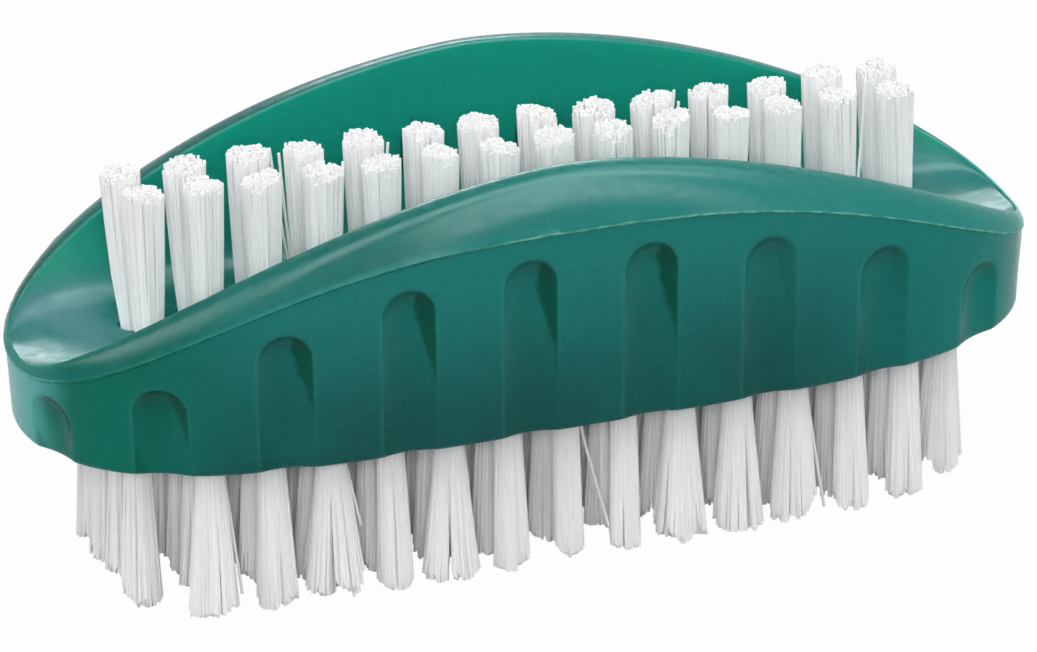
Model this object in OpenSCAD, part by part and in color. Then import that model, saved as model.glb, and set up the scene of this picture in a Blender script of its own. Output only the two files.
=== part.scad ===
// Two-sided nail brush: one moulded body with two arched wings, two rows of short
// tufts in the valley between the wings and a dense field of tufts underneath.
// Length runs along X, width along Y. Z is up, and zero is the plane of the lower tips.

/* [Body] */
// Length of the body along the parting line
body_length = 97.8; // [88:0.2:110]
// Width of the body at the parting line, at mid length
body_width = 36.6; // [34:0.2:42]
// Thickness of the block that holds the tufts, underside to valley floor
block_height = 7.5; // [7.4:0.1:9]
// How far the foot of each wall stands inside the parting line
wall_draft = 0.8; // [0.2:0.1:1.4]
// How far the foot of the wall stands inside the parting line at each end
end_draft = 0.9; // [0.4:0.1:1.6]
// Rounding where the outer wall meets the underside
foot_round = 0.6; // [0.2:0.1:1.2]

/* [Wings] */
// Height of the parting line above the underside, at mid length
parting_height = 20.4; // [17:0.1:24]
// Height of the parting line above the underside, at the ends
parting_end_height = 7.2; // [6.2:0.1:7.6]
// Ledge of the mould parting line
parting_step = 0.12; // [0.05:0.01:0.3]
// Height of the wing's crest above the underside, at mid length
crest_height = 25.3; // [22:0.1:28]
// Height of the rim above the underside, at the ends
rim_height = 7.9; // [7.9:0.1:9.5]
// Distance between the two crests, at mid length
crest_span = 28.4; // [26:0.2:31]
// How far the rim stands inside the parting line at each end
rim_setback = 0.6; // [0.3:0.1:1.5]
// Rounding of the crest on its inner side
crest_round = 0.3; // [0.2:0.1:1]
// Width of the curve that runs from the inner wall into the valley floor
valley_curve = 5; // [3:0.1:5.6]
// Length of the curve that runs from the end rim into the valley floor
end_curve = 4.5; // [2:0.1:5.5]

/* [Finger flutes] */
// Distance between flutes along the wall
flute_pitch = 11.6; // [10:0.1:12]
// How far the flutes sit towards the right end from a centred layout
flute_shift = 1; // [0:0.1:1.2]
// Width of a flute where it meets the wall
flute_width = 5.2; // [4:0.1:6]
// Depth of a flute in the wall
flute_depth = 1; // [0.6:0.05:1.5]
// Flutes on each half of a wall, counted from mid length
flutes_per_half = 5; // [3:1:5]
// Height of wall left above the flutes, at mid length
flute_headroom = 2.2; // [2:0.1:5]
// Height of the outermost flute above the underside
flute_end_height = 6.2; // [4:0.1:6.5]

/* [Tufts] */
// Distance between tufts along a row
tuft_pitch = 5.6; // [5.2:0.1:5.8]
// Distance between the two upper rows
upper_spacing = 5.4; // [5:0.1:5.8]
// Distance between neighbouring lower rows
lower_spacing = 5.2; // [5:0.1:5.3]
// Diameter of a tuft hole
hole_d = 2.6; // [2.2:0.1:2.8]
// Depth of a tuft hole, from the face of the block
hole_depth = 3.5; // [3:0.1:3.6]
// Upper tufts, from the valley floor to their tips
upper_length = 15.4; // [12:0.1:18]
// Lower tufts, from the underside to their tips
lower_length = 16.2; // [12:0.1:18]
// Tufts in each upper row
upper_count = 14; // [10:2:14]
// Tufts in each of the four inner lower rows
lower_count = 15; // [11:2:15]
// Tufts in each outermost lower row
outer_count = 13; // [9:2:13]
// How far the outermost lower rows curve in at their ends
row_bow = 1.2; // [0.4:0.1:2]

/* [Bristles] */
// Side of a strand at its root
strand_root = 1.15; // [0.8:0.05:1.2]
// Side of a strand at its tip
strand_tip = 1.65; // [0.8:0.05:1.7]
// Distance of the strands from the middle of the tuft, at the root
strand_ring = 0.87; // [0.86:0.01:0.9]
// How much further apart the strands are at their tips
tuft_flare = 0.45; // [0.42:0.01:0.5]
// How far the shortest upper strands stay below the longest
upper_unevenness = 1; // [0.4:0.1:1.6]
// How far the shortest lower strands stay above the flat cut
lower_unevenness = 0.5; // [0.2:0.1:1]
// Outward lean of the lower tips in the outermost rows
row_lean = 0.2; // [0:0.05:0.6]
// Outward lean of the lower tips at the left end of the rows
left_lean = 0.6; // [0:0.1:1.2]
// Outward lean of the lower tips at the right end of the rows
right_lean = 0.2; // [0:0.1:1.2]
// Outward lean of the upper tips at the ends of the rows
upper_lean = 0.2; // [0:0.1:1]

/* [Tuft anchors] */
// Thickness of the strip of body that each row is fused to
slice_depth = 1; // [0.6:0.1:1.2]
// Width of body left beside the holes in that strip
slice_margin = 0.5; // [0.3:0.05:0.7]
// Thickness of an anchor's flat wire
anchor_thick = 0.35; // [0.25:0.05:0.5]
// Height of an anchor
anchor_height = 1.4; // [1:0.1:1.6]
// Filament folded under an anchor
fold_depth = 0.4; // [0.3:0.05:0.6]
// Clearance around the folded root and its anchor
root_gap = 0.04; // [0.02:0.01:0.08]

/* [Hidden] */

// Shape of the outlines in plan: how square the shoulders are and how full the nose is
wall_square_share = 4.4;
wall_nose_share = 0.48;
crest_square_share = 3.45;
crest_nose_share = 0.37;
// Shape of the arches seen from the side
parting_arch_share = 2.6;
parting_fall_share = 1.13;
crest_arch_share = 1.7;
crest_fall_share = 0.886;
// How the band above the parting line bulges: 1 would be a flat slope
band_bulge_share = 2.8;
// The last ring of the body stands this far along its half length
nose_share = 0.9994;
// How strongly the rings crowd towards the ends
crowding_share = 2.2;
// Rings on each half of the body
half_rings = 22;
// Points on the inner wall, the crest, the band and the foot of each ring
wall_steps = 6;
crest_steps = 3;
band_steps = 5;
foot_steps = 2;
// Steps along half an outline, for measuring along it
arc_steps = 160;
// The outermost flutes stay within this share of the half length
flute_reach_share = 0.986;
// How the lean grows towards the ends of a row
lean_growth_share = 5;
// How far a strand may wander from its place, as a share of its side
wander_share = 0.05;
// Strands in a tuft
tuft_strands = 4;
// Turn of an anchor against the row
anchor_turn = 30;
// Distance between the seeds of two rows
seed_step = 100;
// Facets of the round cutters
flute_facets = 64;
hole_facets = 24;
// Overrun of every cut
over = 1;

z_base = lower_length;
z_floor = z_base + block_height;
half_length = body_length / 2;
half_width = body_width / 2;
crest_half = half_length - rim_setback;
crest_y = crest_span / 2;
floor_half = crest_half - end_curve;
floor_y = crest_y - crest_round - valley_curve;
foot_half = half_length - end_draft;
foot_y = half_width - wall_draft;
hole_r = hole_d / 2;
slice_r = hole_r + slice_margin;
root_r = hole_r - root_gap;
flute_r = (flute_width * flute_width / 4 + flute_depth * flute_depth) / (2 * flute_depth);
anchor_length = 2 * sqrt(pow(root_r, 2) - pow(anchor_thick / 2, 2));

body_colour = [0.09, 0.46, 0.38];
bristle_colour = [0.93, 0.94, 0.95];
anchor_colour = [0.78, 0.72, 0.55];

// Outline in plan and arch seen from the side, for t from -1 to 1 along the body
function plan(t, half, square, nose) = half * pow(1 - pow(abs(t), square), nose);
function arch(t, low, high, power, fall) =
    low + (high - low) * pow(1 - pow(abs(t), power), fall);
function wall_y(t, half) = plan(t, half, wall_square_share, wall_nose_share);
function crest_plan(t, half) = plan(t, half, crest_square_share, crest_nose_share);
function parting_z(t) =
    z_base + arch(t, parting_end_height, parting_height, parting_arch_share, parting_fall_share);
function crest_z(t) =
    z_base + arch(t, rim_height, crest_height, crest_arch_share, crest_fall_share);
function mix(a, b, s) = a + (b - a) * s;

// The four guide lines of one half of the body
function floor_point(t) = [t * floor_half, crest_plan(t, floor_y), z_floor];
function crest_point(t) = [t * crest_half, crest_plan(t, crest_y), crest_z(t)];
function parting_point(t) = [t * half_length, wall_y(t, half_width), parting_z(t)];
function foot_point(t) = [t * foot_half, wall_y(t, foot_y), z_base];

// Rounding of the crest, limited by the height of the rim above the floor
function crest_r(t) = min(crest_round, (crest_z(t) - z_floor) / 2);

// Inner wall: a quarter of an ellipse from the valley floor up to the crest's rounding
function inner_wall(t) =
    let (a = floor_point(t), c = crest_point(t), r = crest_r(t), top_z = c[2] - r)
    [for (i = [0 : wall_steps - 1]) let (turn = 90 * i / wall_steps)
        [mix(a[0], c[0], sin(turn)), mix(a[1], max(c[1] - r, a[1]), sin(turn)),
         mix(top_z, a[2], cos(turn))]];

function crest_arc(t) =
    let (c = crest_point(t), r = crest_r(t), reach = min(r, c[1] / 2))
    [for (i = [0 : crest_steps - 1]) let (turn = 90 * i / crest_steps)
        [c[0], c[1] - reach * cos(turn), c[2] - r + r * sin(turn)]];

// Band from the crest out and down to the parting line
function band(t) =
    let (c = crest_point(t), p = parting_point(t))
    [for (i = [0 : band_steps]) let (s = i / band_steps)
        [mix(c[0], p[0], s), mix(c[1], p[1], s),
         c[2] - (c[2] - p[2]) * pow(s, band_bulge_share)]];

// Outer wall below the parting line, and its rounded foot
function outer_wall(t) =
    let (p = parting_point(t), f = foot_point(t), r = min(foot_round, f[1] / 2),
         inset = 1 - parting_step / half_width)
    concat([[p[0] * inset, p[1] * inset, p[2] - parting_step / 2]],
        [for (i = [0 : foot_steps]) let (turn = 90 * i / foot_steps)
            [f[0] - sign(t) * r * (1 - cos(turn)), f[1] - r * (1 - cos(turn)),
             f[2] + foot_round * (1 - sin(turn))]]);

function half_ring(t) = concat(inner_wall(t), crest_arc(t), band(t), outer_wall(t));
function ring(t) =
    let (h = half_ring(t), n = len(h))
    concat(h, [for (i = [n - 1 : -1 : 0]) [h[i][0], -h[i][1], h[i][2]]]);
function ring_place(i) =
    let (u = i / half_rings)
    sign(u) * min(nose_share, 1 - pow(1 - abs(u), crowding_share));

module body_shell() {
    rings = [for (i = [-half_rings : half_rings]) ring(ring_place(i))];
    n = len(rings[0]);
    last = len(rings) - 1;
    half = n / 2;
    points = [for (r = rings) each r];
    sides = [for (k = [0 : last - 1]) for (j = [0 : n - 1])
        let (a = k * n + j, b = k * n + (j + 1) % n) each [[a, b, a + n], [b, b + n, a + n]]];
    noses = [for (k = [0, last]) for (j = [0 : half - 2])
        let (a = k * n + j, b = a + 1, c = k * n + n - 2 - j, d = c + 1)
        each k == 0 ? [[a, d, b], [b, d, c]] : [[a, b, d], [b, c, d]]];
    polyhedron(points, concat(sides, noses));
}

// Distances along the wall's outline from mid length to each of its small steps
function outline_point(s) = [s * half_length, wall_y(s, half_width)];
function step_length(i) =
    norm(outline_point(i / arc_steps) - outline_point((i - 1) / arc_steps));
function walked(i, length) = i > arc_steps || length <= 0 ? (i - 1) / arc_steps
    : walked(i + 1, length - step_length(i));
function flute_share(k, end) =
    min(flute_reach_share, walked(1, (k + 1 / 2) * flute_pitch + end * flute_shift));
function flute_normal(s) =
    let (d = outline_point(s + 1 / arc_steps) - outline_point(s - 1 / arc_steps))
    [-d[1], d[0]] / norm(d);
function flute_top(k, end) =
    let (s = flute_share(k, end))
    k == flutes_per_half - 1 ? z_base + flute_end_height : parting_z(s)
        - mix(flute_headroom, parting_end_height / 2, s);

// Slope of the wall below the parting line: its run inwards for each unit of height
function wall_slope(s) =
    let (p = parting_point(s), f = foot_point(s))
    norm([p[0] - f[0], p[1] - f[1]]) / (p[2] - f[2]);

// One finger flute: a round cutter beside the wall, domed at its top and leaning inwards
module flute(k, end) {
    s = flute_share(k, end);
    normal = flute_normal(s);
    top = flute_top(k, end) - flute_width / 2;
    inset = wall_slope(s) * (parting_z(s) - top);
    place = outline_point(s) + normal * (flute_r - flute_depth - inset);
    lean = atan(wall_slope(s));
    translate([place[0], place[1], top]) rotate(a = lean, v = [-normal[1], normal[0], 0]) {
        translate([0, 0, z_base - over - top])
            cylinder(h = top - z_base + over, r = flute_r, $fn = flute_facets);
        sphere(r = flute_r, $fn = flute_facets);
    }
}

module flutes() {
    for (k = [0 : flutes_per_half - 1]) {
        for (end = [-1, 1]) {
            for (side_y = [0, 1]) {
                mirror([(1 - end) / 2, 0, 0]) mirror([0, side_y, 0]) flute(k, end);
            }
        }
    }
}

// Each row is [place across the body, tufts, bow at its ends, lean of its tips]
upper_rows = [for (side = [-1, 1]) [side * upper_spacing / 2, upper_count, 0, 0]];
lower_rows = [for (k = [-5 : 2 : 5])
    let (step = abs(k), outer = step == 5)
    [k * lower_spacing / 2, outer ? outer_count : lower_count,
     sign(k) * row_bow * (step - 1) / 4, sign(k) * row_lean * step / 5]];

function row_x(row, i) = (i - (row[1] - 1) / 2) * tuft_pitch;
function row_end(row) = (row[1] - 1) / 2 * tuft_pitch;
function row_y(row, x) = row[0] - row[2] * pow(x / row_end(row), 2);

// Outline of the strip of body that a row is fused to
function strip_side(row, side) = [for (i = [0 : row[1] - 1])
    let (x = row_x(row, i)) [x, row_y(row, x) + side * slice_r]];
function strip_end(row, side) = [for (turn = [-60 : 30 : 60])
    let (x = side * row_end(row))
    [x + side * slice_r * cos(turn), row_y(row, x) + side * slice_r * sin(turn)]];
function reversed(list) = [for (i = [len(list) - 1 : -1 : 0]) list[i]];
function strip_outline(row) = concat(strip_side(row, -1), strip_end(row, 1),
    reversed(strip_side(row, 1)), strip_end(row, -1));

module strip(row, height) {
    linear_extrude(height = height) polygon(strip_outline(row));
}

// Everything below is laid out on a face at zero with the tufts pointing up.
// upper_side and lower_side put it on the valley floor and on the underside.
module upper_side() {
    translate([0, 0, z_floor]) children();
}

module lower_side() {
    translate([0, 0, z_base]) mirror([0, 0, 1]) children();
}

module row_seat(row) {
    translate([0, 0, -slice_depth]) strip(row, slice_depth + over);
    for (i = [0 : row[1] - 1]) {
        x = row_x(row, i);
        translate([x, row_y(row, x), -hole_depth])
            cylinder(h = hole_depth, r = hole_r, $fn = hole_facets);
    }
}

module body() {
    color(body_colour) difference() {
        body_shell();
        flutes();
        upper_side() for (row = upper_rows) row_seat(row);
        lower_side() for (row = lower_rows) row_seat(row);
    }
}

// One four-sided strand between two places, with its own turn
module strand(root, tip, turn) {
    corners = [for (end = [[root, strand_root], [tip, strand_tip]]) for (m = [0 : 3])
        let (a = turn + 90 * m, r = end[1] / sqrt(2))
        [end[0][0] + r * cos(a), end[0][1] + r * sin(a), end[0][2]]];
    polyhedron(corners, [[0, 1, 2], [0, 2, 3], [4, 6, 5], [4, 7, 6],
        for (m = [0 : 3]) let (n = (m + 1) % 4) each [[m, m + 4, n], [n, m + 4, n + 4]]]);
}

// Strands of one tuft in a ring about its middle, spreading towards their tips
module tuft(x, y, lean, length, uneven, seed) {
    chance = rands(-1, 1, 3 * tuft_strands, seed);
    for (k = [0 : tuft_strands - 1]) {
        a = 360 * (k + 1 / 2) / tuft_strands;
        out = [cos(a), sin(a)];
        wander = wander_share * strand_root * [chance[3 * k], chance[3 * k + 1]];
        root = [x, y] + out * strand_ring;
        tip = [x, y] + out * (strand_ring + tuft_flare) + lean + wander;
        drop = uneven * max(0, chance[3 * k + 2]);
        strand([root[0], root[1], -slice_depth / 2], [tip[0], tip[1], length - drop], a);
    }
}

// Folded root of a tuft in its hole, with the slot that its anchor fills
module folded_root(x, y) {
    translate([x, y, -hole_depth]) difference() {
        cylinder(h = hole_depth - slice_depth / 2, r = root_r, $fn = hole_facets);
        translate([0, 0, fold_depth + anchor_height / 2]) rotate([0, 0, anchor_turn])
            cube([hole_d + over, anchor_thick + 2 * root_gap, anchor_height + 2 * root_gap],
                center = true);
    }
}

module anchor(x, y) {
    translate([x, y, -hole_depth + fold_depth + anchor_height / 2])
        rotate([0, 0, anchor_turn])
        cube([anchor_length, anchor_thick, anchor_height], center = true);
}

// Strands, folded roots and the strip of body between them, fused into one row
module tuft_row(row, length, leans, uneven, seed) {
    color(body_colour) translate([0, 0, -slice_depth]) strip(row, slice_depth);
    color(bristle_colour) for (i = [0 : row[1] - 1]) {
        x = row_x(row, i);
        y = row_y(row, x);
        far_end = pow(abs(x) / row_end(row), lean_growth_share);
        along = (x < 0 ? -leans[0] : leans[1]) * far_end;
        folded_root(x, y);
        tuft(x, y, [along, row[3]], length, uneven, seed + i);
    }
}

module anchor_row(row) {
    color(anchor_colour) for (i = [0 : row[1] - 1]) {
        x = row_x(row, i);
        anchor(x, row_y(row, x));
    }
}

module upper_tufts(k) {
    upper_side() tuft_row(upper_rows[k], upper_length, [upper_lean, upper_lean],
        upper_unevenness, seed_step * (k + 1));
}

module lower_tufts(k) {
    lower_side() tuft_row(lower_rows[k], lower_length, [left_lean, right_lean],
        lower_unevenness, seed_step * (k + 1 + len(upper_rows)));
}

module upper_anchors(k) {
    upper_side() anchor_row(upper_rows[k]);
}

module lower_anchors(k) {
    lower_side() anchor_row(lower_rows[k]);
}

body();
upper_tufts(0);  // upper_tufts_near
upper_tufts(1);  // upper_tufts_far
lower_tufts(0);  // lower_tufts_near_outer
lower_tufts(1);  // lower_tufts_near_middle
lower_tufts(2);  // lower_tufts_near_inner
lower_tufts(3);  // lower_tufts_far_inner
lower_tufts(4);  // lower_tufts_far_middle
lower_tufts(5);  // lower_tufts_far_outer
upper_anchors(0);  // upper_anchors_near
upper_anchors(1);  // upper_anchors_far
lower_anchors(0);  // lower_anchors_near_outer
lower_anchors(1);  // lower_anchors_near_middle
lower_anchors(2);  // lower_anchors_near_inner
lower_anchors(3);  // lower_anchors_far_inner
lower_anchors(4);  // lower_anchors_far_middle
lower_anchors(5);  // lower_anchors_far_outer
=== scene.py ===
"""Looks of a two-sided nail brush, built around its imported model."""
import bisect
import math
import random

import bmesh
import bpy
from mathutils import Matrix, Vector, noise


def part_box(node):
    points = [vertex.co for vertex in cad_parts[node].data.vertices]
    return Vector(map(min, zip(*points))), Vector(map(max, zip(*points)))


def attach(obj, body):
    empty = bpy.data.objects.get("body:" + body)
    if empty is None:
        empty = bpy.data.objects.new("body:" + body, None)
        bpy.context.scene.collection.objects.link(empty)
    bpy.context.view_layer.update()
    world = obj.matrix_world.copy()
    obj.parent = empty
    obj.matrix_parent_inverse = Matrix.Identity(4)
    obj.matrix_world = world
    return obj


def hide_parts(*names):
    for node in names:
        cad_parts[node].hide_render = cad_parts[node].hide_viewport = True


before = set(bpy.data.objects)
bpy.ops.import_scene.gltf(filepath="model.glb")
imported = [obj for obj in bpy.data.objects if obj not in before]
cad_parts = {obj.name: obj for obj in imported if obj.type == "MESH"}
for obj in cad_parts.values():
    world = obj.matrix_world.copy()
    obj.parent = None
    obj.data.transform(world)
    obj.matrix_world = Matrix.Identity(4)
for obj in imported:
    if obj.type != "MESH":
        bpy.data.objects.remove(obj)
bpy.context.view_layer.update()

MM = 0.001

# Body, from the box of its node and the sizes that the box doesn't give
body_low, body_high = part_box("body")
half_length = body_high.x
half_width = body_high.y
underside_z = body_low.z
crest_z_mid = body_high.z
floor_z = underside_z + 7.5 * MM
wall_draft = 0.8 * MM
end_draft = 0.45 * MM
foot_round = 0.6 * MM

# Wings
parting_z_mid = underside_z + 20.4 * MM
parting_z_end = underside_z + 7.2 * MM
parting_step = 0.16 * MM
seam_height = 0.14 * MM
rim_z = underside_z + 7.9 * MM
crest_y_mid = 14.2 * MM
rim_setback = 0.6 * MM
crest_round = 0.3 * MM
valley_curve = 5 * MM
end_curve = 8 * MM
rim_half = half_length - rim_setback
floor_half = rim_half - end_curve
floor_y = crest_y_mid - crest_round - valley_curve

# Powers of the outlines and arches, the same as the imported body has
wall_shape = (4.4, 0.48)
crest_shape = (3.45, 0.37)
parting_shape = (2.6, 1.13)
crest_rise_shape = (1.7, 0.886)

# How full the band above the parting line and the valley's wall are, in the middle and at the
# ends, and the shares of the half length between which that changes
band_bulge = (2.8, 1.9)
band_bulge_fade = (0.3, 0.7)
band_last_share = 0.975
valley_power = (2.4, 1.75)
valley_power_fade = (0.6, 0.8)

# Finger flutes
flute_pitch = 11.6 * MM
flute_shift = 1 * MM
flute_half = 2.6 * MM
flute_depth_top = 1.4 * MM
flute_depth_foot = 0.5 * MM
flute_depth_power = 0.8
flute_fillet = 0.13 * MM
flutes_per_half = 5
flute_headroom = 2.2 * MM
flute_end_height = 6.2 * MM

# Rows of the body's mesh round half its section; the domes are the tops of the flutes
SECTION_STEPS = {"floor": 6, "inner": 18, "crest": 4, "band": 12, "wall": 33, "foot": 4,
                 "underside": 6}
DOME_ROWS = 20
dome_zone = (2.0 * MM, 6.6 * MM)
full_wall = 12 * MM

# Columns of the body's mesh: widest steps, least gap, and their places beside a flute's middle
column_step = 0.95 * MM
nose_step = 0.4 * MM
nose_reach = 3 * MM
least_gap = 0.05 * MM
BESIDE_FLUTE = [0.3 * MM * i for i in range(1, 8)]
BESIDE_FLUTE += [flute_half + step * MM for step in (-0.3, -0.18, -0.08, 0, 0.08, 0.2, 0.4, 0.7)]
mirror_gap = 0.004 * MM
double_gap = 0.002 * MM
cutter_gap = 0.01 * MM
body_sharp_angle = math.radians(35)

# Heights of the waves that cooling leaves, and where those of the valley's ends begin
sink_height = 0.06 * MM
swell_height = 0.02 * MM
sink_fade = (37.8 * MM, 40.8 * MM)

# Tuft holes
tuft_pitch = 5.6 * MM
hole_radius = 1.3 * MM
hole_depth = 3.5 * MM
hole_lip = 1.5 * MM
hole_lip_depth = 0.35 * MM
hole_sides = 28
cutter_rise = 0.5 * MM

# Filaments and tufts
strand_radius = 0.145 * MM
strand_sharp_angle = math.radians(50)
strands_per_tuft = 185
clumps_per_tuft = 5
golden_turn = math.pi * (3 - math.sqrt(5))
tuft_root_radius = 1.11 * MM
root_depth = 1.5 * MM
upper_tip_z = floor_z + 15.4 * MM
upper_tip_slope = 0.012
upper_cut = 0.3 * MM
row_half = 36.4 * MM
end_lean_left = 0.65 * MM
end_lean_right = 0.6 * MM
end_lean_power = 6
first_seed = 11

# How far the tips spread, as a share of the root's radius
UPPER_FLARES = {"upper_near": (1.56, 1.74), "upper_far": (1.62, 1.8)}
lower_flare = (1.9, 2.3)

# For the short tufts on top and the long ones underneath: the pull towards the clumps, how
# ragged the tips are in millimetres, how jagged the clumps are, and how late the tuft spreads
TUFT_WAYS = {"upper": (0.06, 0.8, 0.3, 0.75), "lower": (0.22, 0.9, 1.0, 1.1)}

# Widths of the near outer tufts at their tips, in millimetres, from left to right, and how
# much wider the loose filaments make them
TIP_WIDTHS = (4.8, 3.7, 5.4, 3.4, 5.2, 3.4, 2.9, 2.8, 4.8, 4.5, 4.4, 3.5, 3.4)
loose_share = 1.18

ROW_PIECES = {
    "upper_near": ("upper_tufts_near", "upper_anchors_near"),
    "upper_far": ("upper_tufts_far", "upper_anchors_far"),
    "lower_near_outer": ("lower_tufts_near_outer", "lower_anchors_near_outer"),
    "lower_near_middle": ("lower_tufts_near_middle", "lower_anchors_near_middle"),
    "lower_near_inner": ("lower_tufts_near_inner", "lower_anchors_near_inner"),
    "lower_far_inner": ("lower_tufts_far_inner", "lower_anchors_far_inner"),
    "lower_far_middle": ("lower_tufts_far_middle", "lower_anchors_far_middle"),
    "lower_far_outer": ("lower_tufts_far_outer", "lower_anchors_far_outer"),
}

# Filaments that stand away from their tuft: (along, across, shorter by), in millimetres
STRAYS = {
    ("upper_far", 0): [(-2.3, 0.1, 1.0), (-2.0, 0.3, 1.3)],
    ("upper_far", 3): [(-3.3, 0.2, 0.1), (-2.5, -0.1, 0.6)],
    ("upper_far", 4): [(2.4, 0.0, 1.5)],
    ("upper_far", 9): [(2.3, 0.2, 0.2), (2.7, 0.1, 1.4)],
    ("upper_near", 3): [(1.9, -0.3, -0.3)],
    ("upper_near", 12): [(2.3, 0.0, -0.4)],
    ("lower_near_outer", 0): [(-2.4, -0.3, 0.2), (2.6, 0.0, 1.5)],
    ("lower_near_outer", 2): [(2.6, -0.4, 7.0)],
    ("lower_near_outer", 4): [(-2.3, 0.2, 0.2), (2.6, -0.2, 0.6), (2.2, -0.4, 0.3)],
    ("lower_near_outer", 6): [(4.0, -0.2, 2.8)],
    ("lower_near_outer", 10): [(3.0, -0.2, 0.6)],
}

# Greens of the plastic, most of them painted light and shade. On the wall: darker and bluer at
# its foot and lighter at its top (painted shade and light), towards the left and the right end
# (painted light that differs at the two ends; the right end's green also colours the clouds), at
# the noses (paler, painted light), on the band's left half (darker, painted shade), in the painted
# shade of a flute and in the painted highlight on its edge. In the valley: on its floor, up its
# wall and where the ends are thin (lighter, a painted glow of light through the plastic), and a
# painted reflection on the ends of its floor.
GREEN_FOOT = (0.008, 0.095, 0.090)
GREEN_TOP = (0.017, 0.225, 0.200)
GREEN_LEFT = (0.002, 0.165, 0.115)
GREEN_RIGHT = (0.008, 0.235, 0.205)
GREEN_NOSE_LIGHT = (0.135, 0.540, 0.500)
GREEN_BAND_SHADE = (0.003, 0.120, 0.100)
GREEN_SHADE = (0.000, 0.085, 0.058)
GREEN_EDGE_HIGHLIGHT = (0.030, 0.230, 0.210)
GREEN_FLOOR = (0.006, 0.230, 0.200)
GREEN_INSIDE_GLOW = (0.008, 0.300, 0.215)
GREEN_THIN_GLOW = (0.120, 0.560, 0.430)
GREEN_FLOOR_REFLECTION = (0.130, 0.320, 0.335)

# The mould's seam, painted as a dark shadow line on the left and a pale highlight on the right
SEAM_SHADOW = (0.003, 0.120, 0.085)
SEAM_HIGHLIGHT = (0.200, 0.520, 0.420)

# Nylon and brass, each from its darker to its lighter tone
NYLON_TONES = ((0.965, 0.965, 0.975), (0.99, 0.99, 0.99))
BRASS_TONES = ((0.62, 0.52, 0.28), (0.78, 0.68, 0.42))

# Stage
floor_half_size = 4
floor_grey = 0.18
floor_glow = 1.04
floor_glow_share = 0.94
world_light = 0.3
LAMP_BLUE = (0.90, 0.97, 1.0)

# Camera, fitted to the photograph: degrees, metres and pixels of its frame
camera_degrees = (-18.206, 26.143, 0.848)
camera_distance = 0.8218
focal_pixels = 8846.9
frame_width = 1037
aim_left_pixels = 1.84
aim_up_pixels = 22.643


# Helpers for numbers, outlines and arches

def mix(a, b, share):
    """The value a share of the way from a to b."""
    return a + (b - a) * share


def ease(share):
    """A share kept between 0 and 1, with a soft start and end."""
    share = min(1.0, max(0.0, share))
    return share * share * (3 - 2 * share)


def fade(value, start, end):
    """Goes softly from 0 to 1 while the value goes from start to end."""
    return ease((value - start) / (end - start))


def plan(t, half, shape):
    """Half width of an outline in plan at share t of its half length."""
    return half * max(0.0, 1 - abs(t) ** shape[0]) ** shape[1]


def arch(t, low, high, shape):
    """Height of an arched line at share t of the half length."""
    return low + (high - low) * max(0.0, 1 - abs(t) ** shape[0]) ** shape[1]


def parting_z(t):
    """Height of the parting line."""
    return arch(t, parting_z_end, parting_z_mid, parting_shape)


def crest_z(t):
    """Height of a wing's crest."""
    return arch(t, rim_z, crest_z_mid, crest_rise_shape)


# The body's outline in plan, by the distance walked round it from the middle of a long side

def outline_table(count=4000, crowding=2.3):
    """Shares t along half the body's outline, with the distance walked to each."""
    shares = [1 - (1 - i / count) ** crowding for i in range(count + 1)]
    points = [Vector((t * half_length, plan(t, half_width, wall_shape))) for t in shares]
    walked = [0.0]
    for a, b in zip(points, points[1:]):
        walked.append(walked[-1] + (b - a).length)
    return shares, walked


OUTLINE_SHARES, OUTLINE_WALKED = outline_table()
outline_reach = OUTLINE_WALKED[-1]


def share_at(distance):
    """Share t of the half length at a distance walked round the outline."""
    high = bisect.bisect_left(OUTLINE_WALKED, abs(distance))
    high = min(max(high, 1), len(OUTLINE_WALKED) - 1)
    low = high - 1
    part = (abs(distance) - OUTLINE_WALKED[low]) / (OUTLINE_WALKED[high] - OUTLINE_WALKED[low])
    return math.copysign(mix(OUTLINE_SHARES[low], OUTLINE_SHARES[high], min(1.0, part)), distance)


def outline_normal(t, step=0.0005):
    """Outward normal of the outline in plan."""
    a, b = max(-1.0, t - step), min(1.0, t + step)
    along = Vector(((b - a) * half_length,
                    plan(b, half_width, wall_shape) - plan(a, half_width, wall_shape)))
    return Vector((-along.y, along.x, 0)).normalized()


# Finger flutes

def flute_tops():
    """Distance round the outline and top height of each flute of a wall."""
    found = []
    for k in range(-flutes_per_half, flutes_per_half):
        distance = (k + 0.5) * flute_pitch + flute_shift
        t = share_at(distance)
        top = parting_z(t) - mix(flute_headroom, (parting_z_end - underside_z) / 2, abs(t))
        if k in (-flutes_per_half, flutes_per_half - 1):
            top = underside_z + flute_end_height
        found.append((distance, top))
    return found


FLUTES = flute_tops()


def near_flute(distance):
    """The flute that is closest to a place on the wall."""
    return min(FLUTES, key=lambda flute: abs(flute[0] - distance))


def flute_cut(distance, z):
    """How deep the flutes cut the wall at a place on it."""
    centre, top = near_flute(distance)
    off = math.hypot(distance - centre, max(0.0, z - (top - flute_half)))
    fall = min(1.0, max(0.0, (top - z) / (top - underside_z)))
    depth = mix(flute_depth_top, flute_depth_foot, fall ** flute_depth_power)
    radius = (flute_half ** 2 + depth ** 2) / (2 * depth)
    if off >= radius:
        return 0.0
    cut = math.sqrt(radius * radius - off * off) - (radius - depth)
    if cut < -4 * flute_fillet:
        return 0.0
    return (cut + math.sqrt(cut * cut + flute_fillet ** 2)) / 2


# Section of half the body, in the order in which its points follow each other

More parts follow.
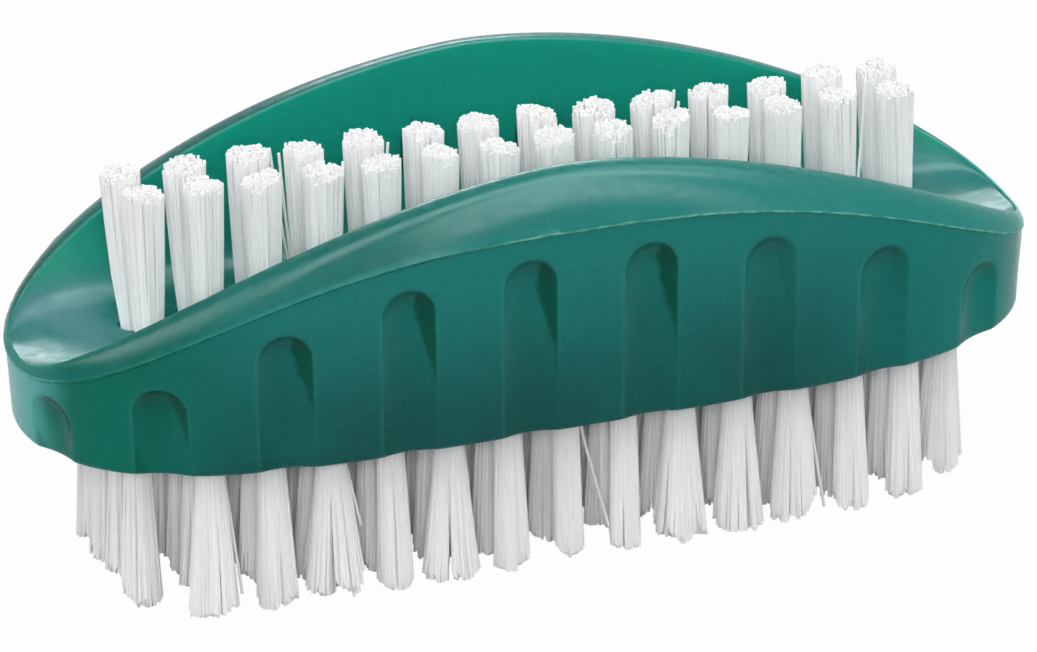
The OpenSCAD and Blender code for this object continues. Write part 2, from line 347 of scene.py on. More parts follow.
def valley_points(t, floor, crest, round_r):
    """Across the valley's floor and up its curved wall."""
    steps = SECTION_STEPS
    power = mix(*valley_power, fade(abs(t), *valley_power_fade))
    points = [Vector((floor.x, floor.y * i / steps["floor"], floor_z))
              for i in range(steps["floor"])]
    for i in range(steps["inner"]):
        turn = math.pi / 2 * i / steps["inner"]
        out = math.sin(turn) ** (2 / power)
        down = math.cos(turn) ** (2 / power)
        points.append(Vector((mix(floor.x, crest.x, out),
                              mix(floor.y, max(crest.y - round_r, floor.y), out),
                              mix(crest.z - round_r, floor_z, down))))
    return points


def crest_points(crest, round_r):
    """Round the inner edge of the crest."""
    reach = min(round_r, crest.y / 2)
    turns = [math.pi / 2 * i / SECTION_STEPS["crest"] for i in range(SECTION_STEPS["crest"])]
    return [Vector((crest.x, crest.y - reach * math.cos(turn),
                    crest.z - round_r + round_r * math.sin(turn))) for turn in turns]


def band_points(t, crest, parting):
    """Down the bulged band from the crest to the parting line."""
    bulge = mix(*band_bulge, fade(abs(t), *band_bulge_fade))
    points = []
    for i in range(SECTION_STEPS["band"] + 1):
        s = min(i / SECTION_STEPS["band"], band_last_share)
        points.append(Vector((mix(crest.x, parting.x, s), mix(crest.y, parting.y, s),
                              crest.z - (crest.z - parting.z) * s ** bulge)))
    return points


def seam_points(parting, normal):
    """Over the raised line at the parting and in by the small step under it."""
    inner = parting - normal * parting_step
    return [parting.copy(),
            mix(parting, inner, 0.2) - Vector((0, 0, seam_height)),
            inner - Vector((0, 0, 1.7 * seam_height))]


def wall_heights(top, bottom):
    """Heights of the rows of the outer wall, closest where the flutes end."""
    height = top - bottom
    scale = min(1.0, height / full_wall)
    low, high = dome_zone
    drops = [low * scale * i / 4 for i in range(1, 4)]
    drops += [scale * mix(low, high, i / (DOME_ROWS - 1)) for i in range(DOME_ROWS)]
    rest = SECTION_STEPS["wall"] - len(drops)
    drops += [mix(drops[-1], height, (i + 1) / (rest + 1)) for i in range(rest)]
    return [top - drop for drop in drops]


def wall_points(distance, top, bottom, normal):
    """Down the drafted wall, in and out of its flutes."""
    points = []
    for z in wall_heights(top.z, bottom.z):
        place = mix(top, bottom, (top.z - z) / (top.z - bottom.z))
        points.append(place - normal * flute_cut(distance, z))
    return points


def foot_points(foot, foot_cut, normal):
    """Round the foot's edge and across the underside to its middle."""
    steps = SECTION_STEPS
    points = []
    for i in range(steps["foot"]):
        turn = math.pi / 2 * i / (steps["foot"] - 1)
        inset = foot_round * (1 - math.cos(turn)) + foot_cut
        points.append(foot - normal * inset
                      + Vector((0, 0, foot_round * (1 - math.sin(turn)))))
        points[-1].y = max(0.0, points[-1].y)
    edge = points[-1]
    for i in range(steps["underside"]):
        share = (i + 1) / steps["underside"]
        points.append(Vector((edge.x, edge.y * (1 - share), underside_z)))
    return points


def section(distance):
    """Points round half a section of the body, from the valley's middle to the underside's."""
    t = share_at(distance)
    floor = Vector((t * floor_half, plan(t, floor_y, crest_shape), floor_z))
    crest = Vector((t * rim_half, plan(t, crest_y_mid, crest_shape), crest_z(t)))
    parting = Vector((t * half_length, plan(t, half_width, wall_shape), parting_z(t)))
    foot = Vector((t * (half_length - end_draft),
                   plan(t, half_width - wall_draft, wall_shape), underside_z))
    bottom = foot + Vector((0, 0, foot_round))
    round_r = min(crest_round, (crest.z - floor_z) / 2)
    normal = outline_normal(t)
    seam = seam_points(parting, normal)
    return (valley_points(t, floor, crest, round_r) + crest_points(crest, round_r)
            + band_points(t, crest, parting) + seam
            + wall_points(distance, seam[-1], bottom, normal)
            + foot_points(foot, flute_cut(distance, bottom.z), normal))


# Body

def column_distances():
    """Places of the mesh's columns round the outline: close at the edges of the flutes."""
    wanted = [-outline_reach, outline_reach]
    for centre, _ in FLUTES:
        wanted += [centre] + [centre + side * off for off in BESIDE_FLUTE for side in (-1, 1)]
    wanted = sorted(d for d in wanted if abs(d) <= outline_reach)
    found = [wanted[0]]
    for distance in wanted[1:]:
        widest = nose_step if abs(distance) > outline_reach - nose_reach else column_step
        gap = distance - found[-1]
        if gap < least_gap:
            continue
        parts = math.ceil(gap / widest)
        found += [found[-1] + gap * (i + 1) / parts for i in range(parts)]
    found[-1] = outline_reach
    return found


def body_half():
    """A grid laid over the far half of the body, with its seam, inside and band marked."""
    columns = column_distances()
    sections = [section(distance) for distance in columns]
    around = len(sections[0]) - 1
    crest_row = SECTION_STEPS["floor"] + SECTION_STEPS["inner"]
    seam_row = crest_row + SECTION_STEPS["crest"] + SECTION_STEPS["band"] + 1
    mesh = bmesh.new()
    bmesh.ops.create_grid(mesh, x_segments=len(columns) - 1, y_segments=around, size=0.5)
    seam = mesh.verts.layers.float.new("seam")
    inside = mesh.verts.layers.float.new("inside")
    along = mesh.verts.layers.float.new("along")
    band = mesh.verts.layers.float.new("band")
    for vert in mesh.verts:
        i = round((vert.co.x + 0.5) * (len(columns) - 1))
        j = round((vert.co.y + 0.5) * around)
        vert.co = sections[i][j]
        vert[seam] = 1.0 if j in (seam_row, seam_row + 1) else 0.0
        vert[inside] = 1.0 if j <= crest_row + 1 else 0.0
        vert[along] = columns[i]
        vert[band] = 1.0 if crest_row + 2 < j < seam_row - 1 else 0.0
    return mesh


def mirrored(mesh):
    """The half mirrored across the middle plane, closed and facing outwards."""
    bmesh.ops.mirror(mesh, geom=mesh.verts[:] + mesh.edges[:] + mesh.faces[:],
                     matrix=Matrix.Identity(4), merge_dist=mirror_gap, axis="Y")
    bmesh.ops.remove_doubles(mesh, verts=mesh.verts, dist=double_gap)
    bmesh.ops.recalc_face_normals(mesh, faces=mesh.faces)
    return mesh


def flute_shade(across, fall, off, walked, place):
    """Shade in a flute: a wedge at its right, a strip at its left foot and a soft hollow.

    Across and off are shares of the flute's half width, and fall is a share of its height."""
    wander = 0.12 * noise.noise(place / (1.6 * MM))
    wedge = mix(0.24, 0.86, fade(fall, 0.14, 0.64))
    right = fade(across + wander, wedge, wedge + 0.2) * (1 - 0.75 * fade(fall, 0.6, 0.85))
    right *= mix(1, 0.35, fade(walked, 9 * MM, 21 * MM))
    right *= mix(1, 0.2, fade(walked, 34 * MM, 39 * MM))
    strip = mix(-1.05, -0.25, fade(fall, 0.4, 1.0))
    left = 0.5 * fade(across - wander, strip, strip - 0.45)
    hollow = 0.55 * fade(abs(across + 0.1), 0.8, 0.3) * (1 - 0.7 * ease(fall))
    hollow *= fade(walked, -30 * MM, -38 * MM)
    return fade(off, 1.0, 0.94) * max(0.16, right, left, hollow)


def mark_surface(mesh):
    """Marks each flute's painted shade and the painted highlight on its edge, and where the seam
    turns from painted shadow to painted highlight.
    """
    along = mesh.verts.layers.float["along"]
    shade = mesh.verts.layers.float.new("shade")
    edge = mesh.verts.layers.float.new("edge")
    pale = mesh.verts.layers.float.new("pale")
    for vert in mesh.verts:
        side = -1.0 if vert.co.y > 0 else 1.0
        walked = side * vert[along]
        # Where the seam turns from its painted shadow on the left to its painted highlight on the
        # right.
        vert[pale] = fade(walked, -15 * MM, -5 * MM)
        centre, top = near_flute(vert[along])
        z = vert.co.z
        if z > parting_z(share_at(vert[along])) - 0.5 * MM or z > top + 0.5 * MM:
            continue
        across = side * (vert[along] - centre) / flute_half
        fall = max(0.0, (top - z) / (top - underside_z))
        off = math.hypot(across, max(0.0, z - (top - flute_half)) / flute_half)
        vert[shade] = flute_shade(across, fall, off, walked, vert.co)
        # A painted highlight along the flute's edge, stronger on its left side and over its dome.
        line = fade(abs(off - 1.04), 0.09, 0.0)
        vert[edge] = line * (1.0 if across < 0.2 else 0.35) * (1 - 0.5 * ease(fall))


def sink_marks(mesh):
    """Shallow waves that cooling leaves in the valley floor's ends and the walls."""
    inside = mesh.verts.layers.float["inside"]
    for vert in mesh.verts:
        place = vert.co
        if place.z < underside_z + 0.4 * MM:
            continue
        end = vert[inside] * fade(vert.normal.z, 0.0, 0.8)
        end *= fade(abs(place.x), *sink_fade)
        wave = math.sin(place.x / (1.2 * MM) + 0.5 * place.y / (1.5 * MM))
        off_floor = fade(abs(place.z - floor_z), 0.0, 1 * MM)
        swell = off_floor * noise.noise(place / (9 * MM))
        vert.co += vert.normal * (sink_height * end * wave + swell_height * swell)


def roughen_seam(mesh):
    """The mould's seam line stands out unevenly, as a thin flash does."""
    seam = mesh.verts.layers.float["seam"]
    pale = mesh.verts.layers.float["pale"]
    for vert in mesh.verts:
        if vert[seam] > 0.5:
            outward = Vector((vert.co.x * 0.2, vert.co.y, 0)).normalized()
            coarse = noise.noise(vert.co / (2.2 * MM))
            fine = noise.noise(vert.co / (0.6 * MM) + Vector((7, 3, 1)))
            vert.co += outward * (0.02 + 0.03 * coarse + 0.03 * fine) * mix(0.4, 1, vert[pale]) * MM
            vert.co.z += (0.05 * coarse + 0.04 * fine) * MM


def finished(mesh, name):
    """A smooth-shaded object from a bmesh, with its sharp edges kept by angle."""
    data = bpy.data.meshes.new(name)
    mesh.to_mesh(data)
    mesh.free()
    data.polygons.foreach_set("use_smooth", [True] * len(data.polygons))
    data.set_sharp_from_angle(angle=body_sharp_angle)
    made = bpy.data.objects.new(name, data)
    bpy.context.scene.collection.objects.link(made)
    return made


def tuft_places(anchor_node):
    """Middle of each tuft of a row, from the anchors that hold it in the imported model."""
    corners = sorted((v.co.copy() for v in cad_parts[anchor_node].data.vertices),
                     key=lambda c: c.x)
    groups = [[corners[0]]]
    for corner in corners[1:]:
        if corner.x - groups[-1][-1].x > tuft_pitch / 2:
            groups.append([])
        groups[-1].append(corner)
    return [sum(g, Vector()) / len(g) for g in groups]


def hole_cutter(places, face_z, up):
    """Round cutters with a small lip, one for each tuft hole of a face of the body."""
    profile = [(0, -hole_depth), (hole_radius, -hole_depth), (hole_radius, -hole_lip_depth),
               (hole_lip, 0.0), (hole_lip, cutter_rise), (0, cutter_rise)]
    cutter = bmesh.new()
    for place in places:
        verts = [cutter.verts.new((place.x + r, place.y, face_z + up * z)) for r, z in profile]
        edges = [cutter.edges.new(pair) for pair in zip(verts, verts[1:])]
        bmesh.ops.spin(cutter, geom=verts + edges, cent=(place.x, place.y, face_z),
                       axis=(0, 0, 1), angle=math.tau, steps=hole_sides, use_merge=True)
    bmesh.ops.remove_doubles(cutter, verts=cutter.verts, dist=cutter_gap)
    bmesh.ops.recalc_face_normals(cutter, faces=cutter.faces)
    return cutter


def cut_holes(body):
    """Tuft holes in the valley floor and in the underside."""
    upper = [p for row in ("upper_near", "upper_far") for p in tuft_places(ROW_PIECES[row][1])]
    lower = [p for row in ROW_PIECES if row.startswith("lower")
             for p in tuft_places(ROW_PIECES[row][1])]
    for places, face_z, up in ((upper, floor_z, 1), (lower, underside_z, -1)):
        cutter = finished(hole_cutter(places, face_z, up), "cutter")
        cut = body.modifiers.new("tuft_holes", "BOOLEAN")
        cut.operation = "DIFFERENCE"
        cut.solver = "EXACT"
        cut.object = cutter
        bpy.context.view_layer.update()
        evaluated = body.evaluated_get(bpy.context.evaluated_depsgraph_get())
        data = bpy.data.meshes.new_from_object(evaluated)
        body.modifiers.clear()
        body.data = data
        bpy.data.objects.remove(cutter)
    body.data.set_sharp_from_angle(angle=body_sharp_angle)


def make_body():
    """The moulded body with its flutes, seam and tuft holes."""
    mesh = mirrored(body_half())
    mesh.normal_update()
    mark_surface(mesh)
    sink_marks(mesh)
    roughen_seam(mesh)
    body = finished(mesh, "moulded_body")
    cut_holes(body)
    body.data.materials.clear()
    body.data.materials.append(green_plastic())
    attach(body, "root")
    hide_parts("body")
    return body


# Tufts

def tuft_character(place, row, number, dice):
    """Reach at the tips, lean, depth of the cut and length of one tuft."""
    share = place.x / row_half
    if row.startswith("upper"):
        left = end_lean_left * max(0.0, -share) ** end_lean_power if "far" in row else 0.0
        right = end_lean_right * max(0.0, share) ** end_lean_power if "near" in row else 0.0
        lean = Vector((-left, 0))
        lean += Vector((dice.gauss(0, 0.12), dice.gauss(0, 0.12))) * MM
        lean.x -= right
        length = upper_tip_z - floor_z - upper_tip_slope * place.x
        length += dice.uniform(-0.25, 0.35) * MM
        return dice.uniform(*UPPER_FLARES[row]), lean, upper_cut, length
    flare = dice.uniform(*lower_flare)
    lean = Vector((dice.gauss(0, 0.15), dice.gauss(0, 0.12))) * MM
    cut = dice.uniform(0.2, 0.6) * MM
    if row == "lower_near_outer":
        flare = (loose_share * TIP_WIDTHS[number] / 2 * MM - strand_radius) / tuft_root_radius
        length = underside_z - mix(0.45, 0.85, (1 + share) / 2) * MM
    else:
        length = underside_z - dice.uniform(0.0, 0.4) * MM
    return flare, lean, cut, length


def clump_middles(flare, dice):
    """Middles of the few clumps that a tuft's filaments gather in."""
    found = []
    for _ in range(clumps_per_tuft):
        turn = dice.uniform(0, math.tau)
        found.append(Vector((math.cos(turn), math.sin(turn))) * dice.uniform(0.3, 0.8)
                     * tuft_root_radius * flare)
    return found


def strand_points(place, row, root, tip, length, end, dice):
    """Five points of one filament, from its root in the hole to its tip."""
    upper = row.startswith("upper")
    face, up = (floor_z, 1) if upper else (underside_z, -1)
    late = TUFT_WAYS["upper" if upper else "lower"][3]
    bow = Vector((dice.gauss(0, 0.04), dice.gauss(0, 0.04))) * MM
    points = []
    for share in (-root_depth / length, 0.0, 0.33, 0.67, 1.0):
        s = max(0.0, share)
        out = mix(root, tip, s ** late) + bow * math.sin(math.pi * s)
        points.append(Vector((place.x + out.x, place.y + out.y, face + up * end * share)))
    return points


def strand_paths(place, row, number, dice):
    """The points of each filament of one tuft."""
    upper = row.startswith("upper")
    pull, ragged, jag, _ = TUFT_WAYS["upper" if upper else "lower"]
    flare, lean, cut, length = tuft_character(place, row, number, dice)
    tip_radius = tuft_root_radius * flare
    clumps = clump_middles(flare, dice)
    strays = STRAYS.get((row, number), [])
    slant = dice.uniform(-0.4, 0.4) * MM
    jagged = [dice.random() for _ in clumps]
    paths = []
    for i in range(strands_per_tuft):
        reach = math.sqrt((i + 0.5) / strands_per_tuft) * tuft_root_radius
        turn = i * golden_turn + place.x / MM
        root = Vector((math.cos(turn), math.sin(turn))) * reach
        spread = root * flare
        nearest = min(range(len(clumps)), key=lambda k: (clumps[k] - spread).length)
        clump = clumps[nearest]
        tip = mix(spread, clump, pull)
        tip += Vector((dice.gauss(0, 0.06), dice.gauss(0, 0.06))) * MM
        drop = cut * (tip.length / tip_radius) ** 1.6 + slant * tip.x / tip_radius
        drop += ragged * MM * dice.random() ** 2
        drop += jag * jagged[nearest] * (clump - spread).length
        tip += lean
        if i >= strands_per_tuft - len(strays):
            dx, dy, shorter = strays[i - strands_per_tuft]
            tip = Vector((dx, dy)) * MM
            root = Vector((math.copysign(0.9, dx), 0.3 * dy)) * tuft_root_radius
            drop = shorter * MM
        end = length - (drop if upper else max(0.0, drop))
        paths.append(strand_points(place, row, root, tip, length, end, dice))
    return paths


def strand_mesh(name, paths):
    """One mesh of round filaments along the given points, each with a tone of its own."""
    curve = bpy.data.curves.new(name, "CURVE")
    curve.dimensions = "3D"
    curve.bevel_depth = strand_radius
    curve.bevel_resolution = 1
    curve.use_fill_caps = True
    for path in paths:
        spline = curve.splines.new("POLY")
        spline.points.add(len(path) - 1)
        for point, place in zip(spline.points, path):
            point.co = (*place, 1)
    holder = bpy.data.objects.new(name, curve)
    bpy.context.scene.collection.objects.link(holder)
    bpy.context.view_layer.update()
    evaluated = holder.evaluated_get(bpy.context.evaluated_depsgraph_get())
    data = bpy.data.meshes.new_from_object(evaluated)
    bpy.data.objects.remove(holder)
    bpy.data.curves.remove(curve)
    data.name = name
    each = len(data.vertices) // len(paths)
    dice = random.Random(len(paths))
    tones = [dice.random() for _ in paths]
    tone = data.attributes.new("tone", "FLOAT", "POINT")
    tone.data.foreach_set("value", [tones[min(i // each, len(paths) - 1)]
                                    for i in range(len(data.vertices))])
    data.polygons.foreach_set("use_smooth", [True] * len(data.polygons))
    data.set_sharp_from_angle(angle=strand_sharp_angle)
    return data


def make_tufts(row, seed, nylon):
    """One row of tufts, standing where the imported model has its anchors."""
    node, anchors = ROW_PIECES[row]
    dice = random.Random(seed)
    paths = [path for number, place in enumerate(tuft_places(anchors))
             for path in strand_paths(place, row, number, dice)]
    data = strand_mesh("filaments_" + row, paths)
    tufts = bpy.data.objects.new("filaments_" + row, data)
    bpy.context.scene.collection.objects.link(tufts)
    data.materials.clear()
    data.materials.append(nylon)
    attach(tufts, "root")
    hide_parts(node)
    return tufts


# Nodes that the materials share

def new_material(name):
    """A material with an emptied node tree, its main shader and its output."""
    made = bpy.data.materials.new(name)
    made.use_nodes = True
    nodes, links = made.node_tree.nodes, made.node_tree.links
    nodes.clear()
    shader = nodes.new("ShaderNodeBsdfPrincipled")
    output = nodes.new("ShaderNodeOutputMaterial")
    links.new(shader.outputs["BSDF"], output.inputs["Surface"])
    return made, nodes, links, shader


def object_coordinates(nodes, links, scale=(1, 1, 1)):
    """Places on the piece in its own coordinates, stretched by a scale."""
    coordinates = nodes.new("ShaderNodeTexCoord")
    mapping = nodes.new("ShaderNodeMapping")
    mapping.inputs["Scale"].default_value = scale
    links.new(coordinates.outputs["Object"], mapping.inputs["Vector"])
    return mapping.outputs["Vector"]


def noise_texture(nodes, links, vector, scale, detail=2.0, roughness=0.5):
    """Soft random values over the piece."""
    texture = nodes.new("ShaderNodeTexNoise")
    texture.inputs["Scale"].default_value = scale
    texture.inputs["Detail"].default_value = detail
    texture.inputs["Roughness"].default_value = roughness
    links.new(vector, texture.inputs["Vector"])
    return texture.outputs["Fac"]


def remap(nodes, links, value, low, high, to_low=0.0, to_high=1.0):
    """A value from one range brought softly into another."""
    made = nodes.new("ShaderNodeMapRange")
    made.interpolation_type = "SMOOTHSTEP"
    made.inputs["From Min"].default_value = low
    made.inputs["From Max"].default_value = high
    made.inputs["To Min"].default_value = to_low
    made.inputs["To Max"].default_value = to_high
    links.new(value, made.inputs["Value"])
    return made.outputs["Result"]


def attribute(nodes, name):
    """A number that the piece's mesh carries at each of its points."""
    made = nodes.new("ShaderNodeAttribute")
    made.attribute_name = name
    return made.outputs["Fac"]


def maths(nodes, links, operation, *values):
    """One step of arithmetic on one or two values, each a number or a socket."""
    made = nodes.new("ShaderNodeMath")
    made.operation = operation
    for slot, value in enumerate(values):
        if isinstance(value, float):
            made.inputs[slot].default_value = value
        else:
            links.new(value, made.inputs[slot])
    return made.outputs[0]


def mix_colour(nodes, links, share, a, b):
    """Mixes two colours, each a colour or a socket, by a socket."""
    made = nodes.new("ShaderNodeMix")
    made.data_type = "RGBA"
    links.new(share, made.inputs[0])
    for slot, value in ((6, a), (7, b)):
        if isinstance(value, tuple):
            made.inputs[slot].default_value = (*value, 1)
        else:
            links.new(value, made.inputs[slot])
    return made.outputs[2]


# Materials

def wall_green(nodes, links, x, z):
    """Green of the walls and the band, with painted light and shade by height and by the place
    along the brush.
    """
    # Painted shade and light: darker and bluer towards the foot, lighter towards the top.
    height = remap(nodes, links, z, underside_z, underside_z + 19 * MM)
    colour = mix_colour(nodes, links, height, GREEN_FOOT, GREEN_TOP)
    # Painted light that differs at the two ends: greener towards the left end, lighter towards the
    # right.
    left_end = remap(nodes, links, x, -28 * MM, -44 * MM)
    colour = mix_colour(nodes, links, left_end, colour, GREEN_LEFT)
    right_end = remap(nodes, links, x, 20 * MM, 44 * MM)
    colour = mix_colour(nodes, links, right_end, colour, GREEN_RIGHT)
    # A paler green at the noses: painted light.
    from_middle = maths(nodes, links, "ABSOLUTE", x)
    noses = remap(nodes, links, from_middle, 45.5 * MM, 48.8 * MM)
    colour = mix_colour(nodes, links, noses, colour, GREEN_NOSE_LIGHT)
    # The band's left half darker: painted shade.
    deep = remap(nodes, links, x, 5 * MM, -22 * MM, 0.0, 0.75)
    deep = maths(nodes, links, "MULTIPLY", deep, attribute(nodes, "band"))
    return mix_colour(nodes, links, deep, colour, GREEN_BAND_SHADE)


def valley_green(nodes, links, x, z):
    """Green of the valley, with a painted glow of light through its wall and thin ends and a
    painted reflection on the ends of its floor.
    """
    # Lighter up the valley's wall: a painted glow of light shining through the thin wing.
    rise = remap(nodes, links, z, floor_z + 0.5 * MM, floor_z + 4 * MM)
    colour = mix_colour(nodes, links, rise, GREEN_FLOOR, GREEN_INSIDE_GLOW)
    # Lighter at the thin ends: a painted glow of light shining through the plastic.
    from_middle = maths(nodes, links, "ABSOLUTE", x)
    thin = maths(nodes, links, "MULTIPLY", remap(nodes, links, from_middle, 34 * MM, 46 * MM),
                 remap(nodes, links, z, floor_z + 1 * MM, floor_z + 5 * MM, 0.0, 0.6))
    colour = mix_colour(nodes, links, thin, colour, GREEN_THIN_GLOW)
    # A patchy painted reflection on the ends of the floor, low down and weaker at the right end.
    reflection_stretch = object_coordinates(nodes, links, (1.0, 0.35, 1.6))
    floor_reflection = remap(nodes, links, noise_texture(nodes, links, reflection_stretch, 260), 0.3, 0.65, 0.25, 1.0)
    for share in (remap(nodes, links, from_middle, 33 * MM, 43 * MM),
                  remap(nodes, links, z, floor_z + 4.5 * MM, floor_z + 0.6 * MM),
                  remap(nodes, links, x, 0.0, 20 * MM, 1.0, 0.6)):
        floor_reflection = maths(nodes, links, "MULTIPLY", floor_reflection, share)
    return mix_colour(nodes, links, floor_reflection, colour, GREEN_FLOOR_REFLECTION)


def marked_green(nodes, links, place, colour):
    """The greens with the flutes' painted shade and the painted highlights on their edges, and the
    broken seam over them, a painted shadow on the left and a painted highlight on the right.
    """
    colour = mix_colour(nodes, links, attribute(nodes, "shade"), colour, GREEN_SHADE)
    # The painted highlight on each flute's edge.
    edge = maths(nodes, links, "MULTIPLY", attribute(nodes, "edge"), 0.55)
    colour = mix_colour(nodes, links, edge, colour, GREEN_EDGE_HIGHLIGHT)
    broken = remap(nodes, links, noise_texture(nodes, links, place, 900), 0.35, 0.65, 0.2, 0.75)
    line = remap(nodes, links, attribute(nodes, "seam"), 0.45, 1.0)
    line = maths(nodes, links, "MULTIPLY", line, broken)
    # The seam: a painted shadow line on the left, a painted highlight on the right.
    seam = mix_colour(nodes, links, attribute(nodes, "pale"), SEAM_SHADOW, SEAM_HIGHLIGHT)
    return mix_colour(nodes, links, line, colour, seam)


def green_plastic():
    """Satin green plastic, slightly translucent, with soft clouds, fine scuffs and grain."""
    made, nodes, links, shader = new_material("green_plastic")
    place = object_coordinates(nodes, links)
    split = nodes.new("ShaderNodeSeparateXYZ")
    links.new(place, split.inputs[0])
    x, z = split.outputs["X"], split.outputs["Z"]
    colour = mix_colour(nodes, links, attribute(nodes, "inside"),
                        wall_green(nodes, links, x, z), valley_green(nodes, links, x, z))
    cloud = remap(nodes, links, noise_texture(nodes, links, place, 60, 3), 0.35, 0.7, 0.0, 0.25)
    colour = mix_colour(nodes, links, cloud, colour, GREEN_RIGHT)
    links.new(marked_green(nodes, links, place, colour), shader.inputs["Base Color"])
    scuff = noise_texture(nodes, links, object_coordinates(nodes, links, (1, 2, 2)), 700, 4, 0.6)
    links.new(remap(nodes, links, scuff, 0.35, 0.7, 0.2, 0.34), shader.inputs["Roughness"])
    grain = nodes.new("ShaderNodeBump")
    grain.inputs["Strength"].default_value = 0.06
    grain.inputs["Distance"].default_value = 0.2 * MM
    links.new(noise_texture(nodes, links, place, 1400, 3), grain.inputs["Height"])
    links.new(grain.outputs["Normal"], shader.inputs["Normal"])
    shader.inputs["Subsurface Weight"].default_value = 0.5
    shader.inputs["Subsurface Radius"].default_value = (0.25, 1.0, 0.7)
    shader.inputs["Subsurface Scale"].default_value = 3 * MM
    shader.inputs["Specular IOR Level"].default_value = 0.08
    return made


def white_nylon():
    """White nylon filament: each strand has a tone of its own and fine lengthwise streaks."""
    made, nodes, links, shader = new_material("white_nylon")
    links.new(mix_colour(nodes, links, attribute(nodes, "tone"), *NYLON_TONES),
              shader.inputs["Base Color"])
    streaks = noise_texture(nodes, links, object_coordinates(nodes, links, (1, 1, 0.05)), 4000)
    links.new(remap(nodes, links, streaks, 0.3, 0.7, 0.36, 0.52), shader.inputs["Roughness"])
    shader.inputs["Specular IOR Level"].default_value = 0.05
    return made


def drawn_brass():
    """Bright drawn wire with fine lines along it."""
    made, nodes, links, shader = new_material("drawn_brass")
    drawn = noise_texture(nodes, links, object_coordinates(nodes, links, (1, 12, 12)), 900, 3)
    links.new(mix_colour(nodes, links, drawn, *BRASS_TONES), shader.inputs["Base Color"])
    links.new(remap(nodes, links, drawn, 0.3, 0.7, 0.22, 0.4), shader.inputs["Roughness"])
    shader.inputs["Metallic"].default_value = 1.0
    return made


def dress_anchors():
    """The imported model's own anchors, in brass."""
    brass = drawn_brass()
    for _, anchors in ROW_PIECES.values():
        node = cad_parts[anchors]
        node.data.materials.clear()
        node.data.materials.append(brass)


# Floor, world, lamps and camera

def seen_directly(nodes, links):
    """A socket that is 1 for what the camera sees, also in a reflection or through glass."""
    path = nodes.new("ShaderNodeLightPath")
    total = path.outputs["Is Camera Ray"]
    for name in ("Is Glossy Ray", "Is Transmission Ray"):
        total = maths(nodes, links, "MAXIMUM", total, path.outputs[name])
    return total


def blend_shaders(nodes, links, share, first, second, output):
    """Two shaders blended by a socket and led to an output."""
    blend = nodes.new("ShaderNodeMixShader")
    links.new(share, blend.inputs[0])
    links.new(first.outputs[0], blend.inputs[1])
    links.new(second.outputs[0], blend.inputs[2])
    links.new(blend.outputs[0], output.inputs["Surface"])


def make_floor():
    """A wide pale floor that looks white to the camera and keeps a soft shadow."""
    mesh = bmesh.new()
    bmesh.ops.create_grid(mesh, x_segments=1, y_segments=1, size=floor_half_size)
    floor = finished(mesh, "floor")
    made, nodes, links, shader = new_material("pale_floor")
    nodes.remove(shader)
    output = next(n for n in nodes if n.type == "OUTPUT_MATERIAL")
    matte = nodes.new("ShaderNodeBsdfDiffuse")
    matte.inputs["Color"].default_value = (floor_grey, floor_grey, floor_grey, 1)
    glow = nodes.new("ShaderNodeEmission")
    glow.inputs["Color"].default_value = (1, 1, 1, 1)
    glow.inputs["Strength"].default_value = floor_glow
    share = maths(nodes, links, "MULTIPLY", seen_directly(nodes, links), floor_glow_share)
    blend_shaders(nodes, links, share, matte, glow, output)
    floor.data.materials.append(made)
    return floor


def make_world():
    """A plain world that lights the brush softly and looks white to the camera."""
    world = bpy.data.worlds.new("studio")
    bpy.context.scene.world = world
    world.use_nodes = True
    nodes, links = world.node_tree.nodes, world.node_tree.links
    nodes.clear()
    output = nodes.new("ShaderNodeOutputWorld")
    lit, seen = (nodes.new("ShaderNodeBackground") for _ in range(2))
    for background, strength in ((lit, world_light), (seen, 1.0)):
        background.inputs["Color"].default_value = (1, 1, 1, 1)
        background.inputs["Strength"].default_value = strength
    blend_shaders(nodes, links, seen_directly(nodes, links), lit, seen, output)


def softbox(name, direction, size, radiance, colour=(1, 1, 1), gives="both"):
    """A rectangular lamp a metre from the brush; it gives soft light, gloss or both."""
    data = bpy.data.lights.new(name, "AREA")
    data.shape = "RECTANGLE"
    data.size, data.size_y = size
    data.energy = radiance * math.pi * size[0] * size[1]
    data.color = colour
    lamp = bpy.data.objects.new(name, data)
    lamp.visible_diffuse = gives != "gloss"
    lamp.visible_glossy = gives != "light"
    middle = Vector((0, 0, floor_z))
    away = Vector(direction).normalized()
    lamp.location = middle + away
    lamp.rotation_mode = "QUATERNION"
    lamp.rotation_quaternion = (-away).to_track_quat("-Z", "Y")
    bpy.context.scene.collection.objects.link(lamp)


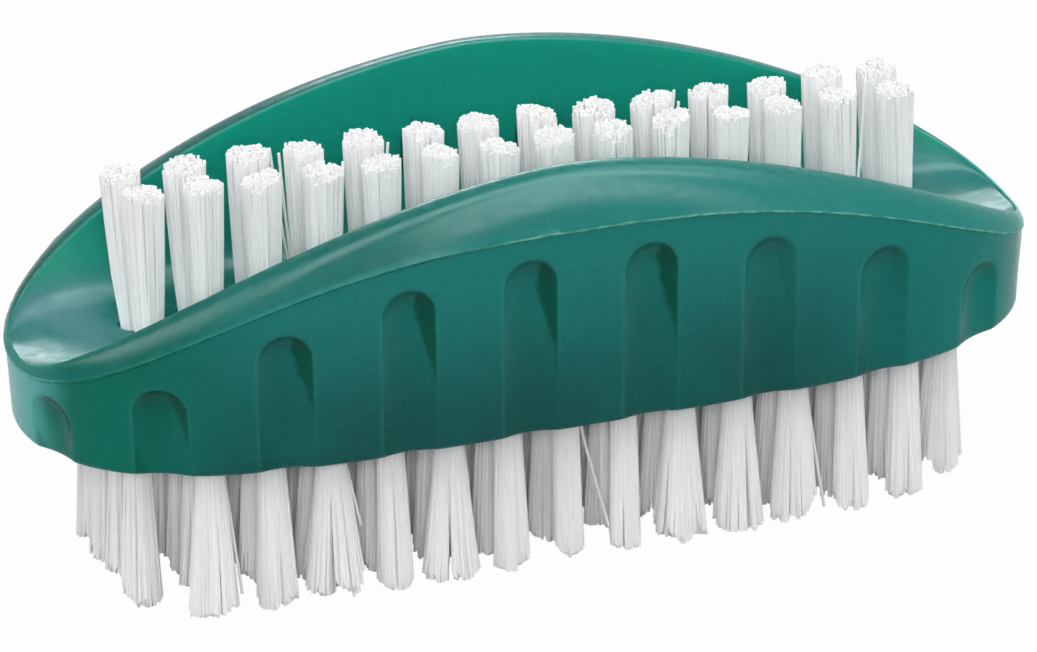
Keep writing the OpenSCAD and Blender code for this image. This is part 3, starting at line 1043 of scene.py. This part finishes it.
def make_lights():
    """Soft studio light from all sides, and panels that only show in the gloss."""
    softbox("front_softbox", (-0.28, -0.85, 0.45), (0.28, 0.22), 18.3, gives="light")
    softbox("high_softbox", (-0.1, -0.5, 0.85), (0.8, 0.6), 1.9, gives="light")
    softbox("left_softbox", (-0.95, -0.2, 0.3), (0.5, 0.5), 3.0)
    softbox("right_softbox", (0.95, -0.3, 0.3), (0.5, 0.5), 3.5)
    softbox("back_softbox", (0.35, 0.9, 0.35), (0.5, 0.4), 4.0, gives="light")
    softbox("top_gloss", (0.10, -0.05, 1.0), (0.34, 1.2), 23.0, LAMP_BLUE, "gloss")
    softbox("front_gloss", (0.24, -0.70, 0.78), (0.4, 0.85), 23.0, LAMP_BLUE, "gloss")
    softbox("back_gloss", (0.2, 0.85, 0.42), (0.35, 0.22), 16.0, LAMP_BLUE, "gloss")
    softbox("side_gloss", (0.5, 0.2, 0.85), (0.35, 0.4), 8.0, LAMP_BLUE, "gloss")
    softbox("left_gloss", (-0.6, 0.35, 0.7), (0.4, 0.5), 14.0, LAMP_BLUE, "gloss")
    softbox("wide_gloss", (0.1, -0.22, 1.0), (1.8, 1.15), 1.2, LAMP_BLUE, "gloss")


def make_camera():
    """A long lens from the left, above the near side, as in the photograph."""
    azimuth, elevation, roll = (math.radians(a) for a in camera_degrees)
    back = Vector((math.sin(azimuth) * math.cos(elevation),
                   -math.cos(azimuth) * math.cos(elevation), math.sin(elevation)))
    right = Vector((math.cos(azimuth), math.sin(azimuth), 0))
    up = back.cross(right)
    turned = Matrix.Rotation(-roll, 3, back)
    right, up = turned @ right, turned @ up
    data = bpy.data.cameras.new("camera")
    data.sensor_width = 36
    data.lens = focal_pixels / frame_width * data.sensor_width
    data.clip_start, data.clip_end = 0.05, 20
    aim = Vector((0, 0, underside_z))
    aim -= right * (aim_left_pixels / focal_pixels * camera_distance)
    aim += up * (aim_up_pixels / focal_pixels * camera_distance)
    camera = bpy.data.objects.new("camera", data)
    turn = Matrix((right, up, back)).transposed()
    camera.matrix_world = Matrix.Translation(aim + back * camera_distance) @ turn.to_4x4()
    bpy.context.scene.collection.objects.link(camera)
    bpy.context.scene.camera = camera


make_camera()
make_body()
white = white_nylon()
for number, row_name in enumerate(ROW_PIECES):
    make_tufts(row_name, first_seed + number, white)
dress_anchors()
make_floor()
make_world()
make_lights()
bpy.context.scene.view_settings.view_transform = "Standard"
